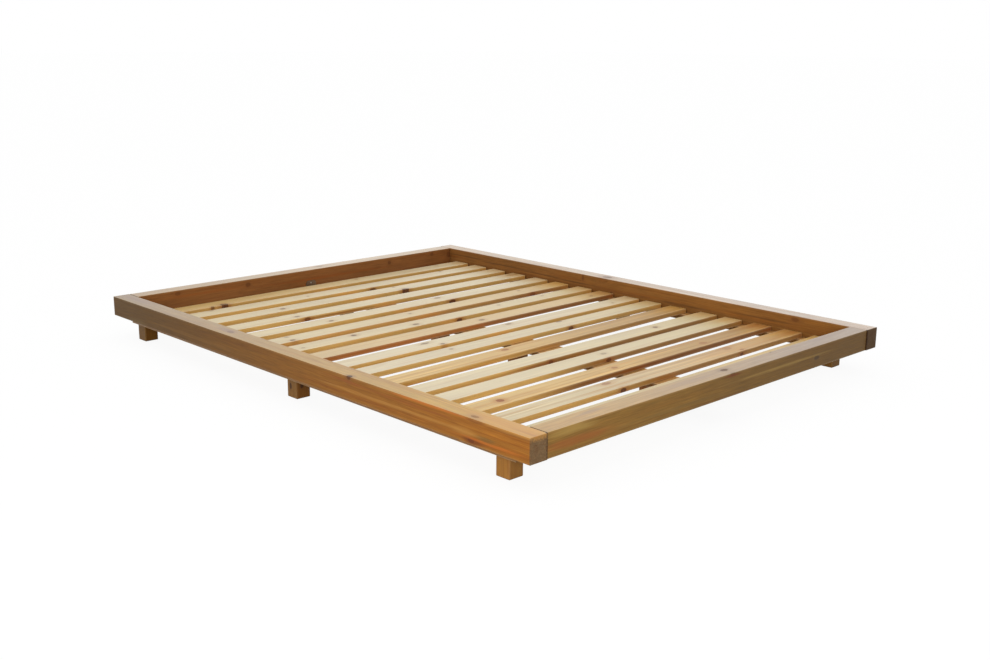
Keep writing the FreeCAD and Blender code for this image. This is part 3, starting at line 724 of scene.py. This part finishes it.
# painted shade and warm reflected light on the slats' right ends, next to the right rail
endShadePatch = (755, 0, 0, 85, 60, 30)  # the darker right end
plainEndShade = (0.35, "gold")
sideStains = {
    "slat_04": [(-210, -38, -1, 230, 8, 5, 0.7, "russet")],
    "slat_06": [(600, -38, -1, 200, 8, 8, 0.5, "russet")],
    "slat_12": [(-200, -38, -1, 120, 8, 5, 0.6, "russet")],
}
slatEndShades = {
    "slat_06": (0.6, "gold"), "slat_07": (0.5, "gold"), "slat_08": (0.5, "russet"),
    "slat_12": (0.5, "gold"), "slat_13": (0.5, "gold"), "slat_14": (0.55, "russet"),
    "slat_15": (0.4, "russet"),
}
for count, (piece, look) in enumerate(slats.items()):
    # each from another place in a log
    pith = (0.004 * (-1) ** count, 0.05 * math.sin(2.4 * count), -0.035 - 0.012 * (count % 4))
    wood = {**slatLook, "Seed": 60.0 + 5.3 * count, "Pith": pith}
    wood["Top Colour"], wood["Far Top"] = [tops[tone] for tone in look["top"]]
    wood["Side Colour"], wood["Far Side"] = [sides[tone] for tone in look["side"]]
    if look["varnish"] < thinVarnish:
        wood.update(thinLook)
    if piece in sideShadeFrom:
        wood.update({"Side Start": sideShadeFrom[piece] - sideShadeFade, "Side End": sideShadeFrom[piece]})
    stainsAndShade = [(*endShadePatch, *slatEndShades.get(piece, plainEndShade))] + sideStains.get(piece, [])
    dressPine(piece, "x", {**look, "wood": wood, "stainsAndShade": stainsAndShade})

# dowels: bare wood

for piece, grain, seed in (("foot_dowels", "z", 150.0), ("corner_dowels", "y", 159.0)):
    dressPine(piece, grain, {"wood": {**slatLook, "Seed": seed}, "varnish": 0.0})
print("stage 3: every wooden piece has its own grain")

# metal

steelLook = {
    "bracket": (shade(145, 121, 94), 300.0),  # colour, and spots to the metre
    "screw": (shade(176, 166, 150), 900.0),
    "dull": shade(130, 122, 110), "roughness": (0.3, 0.5), "bump": 0.2, "spotDeep": 0.0002,
}


def dressSteel(piece, kind):
    colour, spots = steelLook[kind]
    material = bpy.data.materials.new("steel_" + piece)
    material.use_nodes = True
    tree = material.node_tree
    principled = tree.nodes["Principled BSDF"]
    spot = addNode(tree, "TexCoord").outputs["Object"]
    dull = noise(tree, spot, spots, 3.0, 0.6)
    feed(tree, principled.inputs["Base Color"], mixColour(tree, dull, colour, steelLook["dull"]))
    feed(tree, principled.inputs["Roughness"], spread(tree, dull, 0.3, 0.7, *steelLook["roughness"]))
    principled.inputs["Metallic"].default_value = 1.0
    bump = addNode(
        tree, "Bump", {"Strength": steelLook["bump"], "Distance": steelLook["spotDeep"], "Height": dull}
    )
    tree.links.new(bump.outputs["Normal"], principled.inputs["Normal"])
    for place in nodes[piece].material_slots:
        place.material = material


for piece in ("angle_bracket_head", "angle_bracket_foot"):
    dressSteel(piece, "bracket")

# screws: turned head and shank, ring threads, and a cross recess cut into the head. Sizes in mm,
# and a profile gives radius and height above the face that the screw goes into

screwMake = {"around": 24, "pointRadius": 0.25, "recessTaper": 0.45, "smoothAngle": 35}
bracketScrew = {
    "profile": [(2.2, 2.2), (3.1, 2.0), (3.7, 1.6), (4.0, 1.1), (4.0, 0.1), (3.8, 0.0), (2.0, 0.0)],
    "threadFrom": -1.0, "threadTo": -12.0, "threadStep": 1.1, "threadDeep": 0.3, "shank": 2.0,
    "tip": -13.9, "recessWide": 0.9, "recessLong": 4.0, "recessDeep": 1.5,
}
ledgerScrew = {
    "profile": [(3.5, 0.0), (3.95, -0.05), (4.0, -0.2), (2.0, -2.0)], "threadFrom": -14.0,
    "threadTo": -41.0, "threadStep": 1.8, "threadDeep": 0.4, "shank": 2.0, "tip": -44.8,
    "recessWide": 1.0, "recessLong": 4.4, "recessDeep": 1.8,
}


def pickFaces(thing, test):
    bpy.ops.object.mode_set(mode="OBJECT")
    for part in (thing.data.vertices, thing.data.edges, thing.data.polygons):
        for item in part:
            item.select = False
    for face in thing.data.polygons:
        face.select = test(face)
    bpy.ops.object.mode_set(mode="EDIT")
    bpy.ops.mesh.select_mode(type="FACE")


def makeScrew(name, look):
    # lathed from the head down, as a stack of rings
    rings = list(look["profile"])
    down, shank, deep = look["threadFrom"], look["shank"], look["threadDeep"]
    rings.append((shank - deep, down + 0.2))
    while down > look["threadTo"]:
        rings += [(shank, down - look["threadStep"] * 0.5), (shank - deep, down - look["threadStep"])]
        down -= look["threadStep"]
    rings.append((screwMake["pointRadius"], look["tip"]))
    bpy.ops.object.select_all(action="DESELECT")
    top = rings[0][1] / 1000
    bpy.ops.mesh.primitive_circle_add(
        vertices=screwMake["around"], radius=rings[0][0] / 1000, fill_type="NGON", location=(0, 0, top)
    )
    screw = bpy.context.object
    screw.name = name
    bpy.ops.object.transform_apply(location=True, rotation=True, scale=True)
    bpy.ops.object.mode_set(mode="EDIT")
    for (radius, height), (nextRadius, nextHeight) in zip(rings, rings[1:]):
        bpy.ops.mesh.extrude_region_move(
            TRANSFORM_OT_translate={"value": (0, 0, (nextHeight - height) / 1000)}
        )
        growth = nextRadius / radius
        bpy.ops.transform.resize(value=(growth, growth, 1), center_override=(0, 0, nextHeight / 1000))
    bpy.ops.mesh.select_all(action="SELECT")
    bpy.ops.mesh.normals_make_consistent(inside=False)
    bpy.ops.object.mode_set(mode="OBJECT")
    for turn in (0, 90):  # the two arms of the cross, narrower towards the bottom
        bpy.ops.object.select_all(action="DESELECT")
        size = (look["recessLong"], look["recessWide"], 2 * look["recessDeep"])
        bpy.ops.mesh.primitive_cube_add(
            size=0.001, location=(0, 0, top), rotation=(0, 0, math.radians(turn)), scale=size
        )
        arm = bpy.context.object
        bpy.ops.object.transform_apply(location=True, rotation=True, scale=True)
        bottom = min(v.co.z for v in arm.data.vertices)
        pickFaces(arm, lambda face: face.center.z < bottom + 0.0001)
        bpy.ops.transform.resize(
            value=(screwMake["recessTaper"], screwMake["recessTaper"], 1),
            center_override=(0, 0, bottom)
        )
        bpy.ops.object.mode_set(mode="OBJECT")
        bpy.ops.object.select_all(action="DESELECT")
        screw.select_set(True)
        bpy.context.view_layer.objects.active = screw
        cut = screw.modifiers.new("recess", "BOOLEAN")
        cut.operation, cut.solver, cut.object = "DIFFERENCE", "EXACT", arm
        bpy.ops.object.modifier_apply(modifier="recess")
        bpy.data.objects.remove(arm, do_unlink=True)
    bpy.ops.object.shade_smooth_by_angle(angle=math.radians(screwMake["smoothAngle"]))
    return screw


def setScrews(name, look, node, places):
    # one screw is made, and the others are copies of it. All are joined into the set that stands
    # for the node
    first = makeScrew(name, look)
    copies = []
    for spot, turn in places:
        bpy.ops.object.select_all(action="DESELECT")
        first.select_set(True)
        bpy.context.view_layer.objects.active = first
        bpy.ops.object.duplicate(linked=False)
        screw = bpy.context.object
        screw.location, screw.rotation_euler = spot, [math.radians(a) for a in turn]
        bpy.ops.object.transform_apply(location=True, rotation=True, scale=True)
        copies.append(screw)
    bpy.data.objects.remove(first, do_unlink=True)
    bpy.ops.object.select_all(action="DESELECT")
    for screw in copies:
        screw.select_set(True)
    whole = copies[0]
    bpy.context.view_layer.objects.active = whole
    bpy.ops.object.join()
    whole.name = name
    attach(whole, "frame")
    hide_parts(node)
    nodes[name] = whole
    whole.data.materials.clear()
    whole.data.materials.append(None)
    dressSteel(name, "screw")


bracketHead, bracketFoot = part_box("angle_bracket_head"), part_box("angle_bracket_foot")
plate, hole = 0.0025, 0.015  # the bracket's metal, and how far its holes are from the corner
level, deck = bracketHead[0].z + hole, bracketHead[0].z + plate
headFace, footFace = bracketHead[1].y, bracketFoot[0].y
setScrews(
    "bracketScrews", bracketScrew, "bracket_screws",
    [
        ((0, headFace - plate, level), (90, 22, 0)), ((0, headFace - hole, deck), (0, 0, 31)),
        ((0, footFace + plate, level), (-90, -14, 0)), ((0, footFace + hole, deck), (0, 0, 68))
    ]
)
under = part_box("ledger_left")[0].z
headRadius, firstRow, rowStep, rowsToASide = 0.004, 0.13, 0.24, 4
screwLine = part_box("ledger_screws")[1].x - headRadius
rows = [side * (firstRow + rowStep * step) for side in (-1, 1) for step in range(rowsToASide)]
setScrews(
    "ledgerScrews", ledgerScrew, "ledger_screws",
    [
        ((side * screwLine, row, under), (180, 0, 37 * count))
        for side in (-1, 1)
        for count, row in enumerate(rows)
    ]
)
print("stage 4: metal")

# floor and light

lightLook = {
    "skyFill": 0.42, "sunLevel": 0.62, "sunSpread": 120, "sunTurn": (-8, -6, 0),  # degrees
    "frontPlace": (-3.2, -4.1, 1.25), "frontPower": 84.0, "frontSize": 1.8,
    "frontAim": (-0.2, -0.2, 0.1),
    "floorSize": 120, "floorSeen": 0.92, "floorBounce": 0.5, "floorGlow": 0.92,
    "grit": 0.02, "gritScale": 30.0,
}


def makeFloor(look):
    bpy.ops.mesh.primitive_plane_add(size=look["floorSize"], location=(0, 0, 0))
    floor = bpy.context.object
    floor.name = "floor"
    material = bpy.data.materials.new("paleFloor")
    material.use_nodes = True
    tree = material.node_tree
    tree.nodes.clear()
    path = addNode(tree, "LightPath")
    seen = calc(tree, "MAXIMUM", path.outputs["Is Camera Ray"], path.outputs["Is Glossy Ray"])
    grit = noise(tree, addNode(tree, "TexCoord").outputs["Object"], look["gritScale"])
    tone = spread(tree, seen, 0.0, 1.0, look["floorBounce"], look["floorSeen"])
    tone = calc(tree, "MULTIPLY_ADD", grit, look["grit"], calc(tree, "SUBTRACT", tone, look["grit"] / 2))
    paper = addNode(tree, "BsdfDiffuse", {"Color": greyOf(tree, tone)})
    glow = addNode(tree, "Emission", {"Color": (1, 1, 1, 1), "Strength": 1.0})
    both = addNode(tree, "MixShader", {"Fac": calc(tree, "MULTIPLY", seen, look["floorGlow"])})
    tree.links.new(paper.outputs[0], both.inputs[1])
    tree.links.new(glow.outputs[0], both.inputs[2])
    tree.links.new(both.outputs[0], addNode(tree, "OutputMaterial").inputs["Surface"])
    floor.data.materials.append(material)


def addLamp(name, kind, energy, place, turn=(0, 0, 0)):
    lamp = bpy.data.lights.new(name, kind)
    lamp.energy = energy
    lampObject = bpy.data.objects.new(name, lamp)
    lampObject.location = place
    lampObject.rotation_euler = turn
    lampObject.visible_camera = False
    scene.collection.objects.link(lampObject)
    return lamp


def makeLight(look):
    world = bpy.data.worlds.new("paleSky")
    scene.world = world
    world.use_nodes = True
    tree = world.node_tree
    tree.nodes.clear()
    path = addNode(tree, "LightPath")
    seen = calc(tree, "MAXIMUM", path.outputs["Is Camera Ray"], path.outputs["Is Glossy Ray"])
    power = calc(tree, "MULTIPLY_ADD", seen, 1.0 - look["skyFill"], look["skyFill"])
    sky = addNode(tree, "Background", {"Color": (1, 1, 1, 1), "Strength": power})
    tree.links.new(sky.outputs[0], addNode(tree, "OutputWorld").inputs["Surface"])
    sun = addLamp(
        "softSun", "SUN", math.pi * look["sunLevel"], (0, 0, 5),
        [math.radians(a) for a in look["sunTurn"]]
    )
    sun.angle = math.radians(look["sunSpread"])
    place = Vector(look["frontPlace"])
    aim = (Vector(look["frontAim"]) - place).to_track_quat("-Z", "Y").to_euler()
    front = addLamp("frontFill", "AREA", look["frontPower"], place, aim)
    front.shape = "DISK"
    front.size = look["frontSize"]


makeFloor(lightLook)
makeLight(lightLook)
print("stage 5: floor and light")
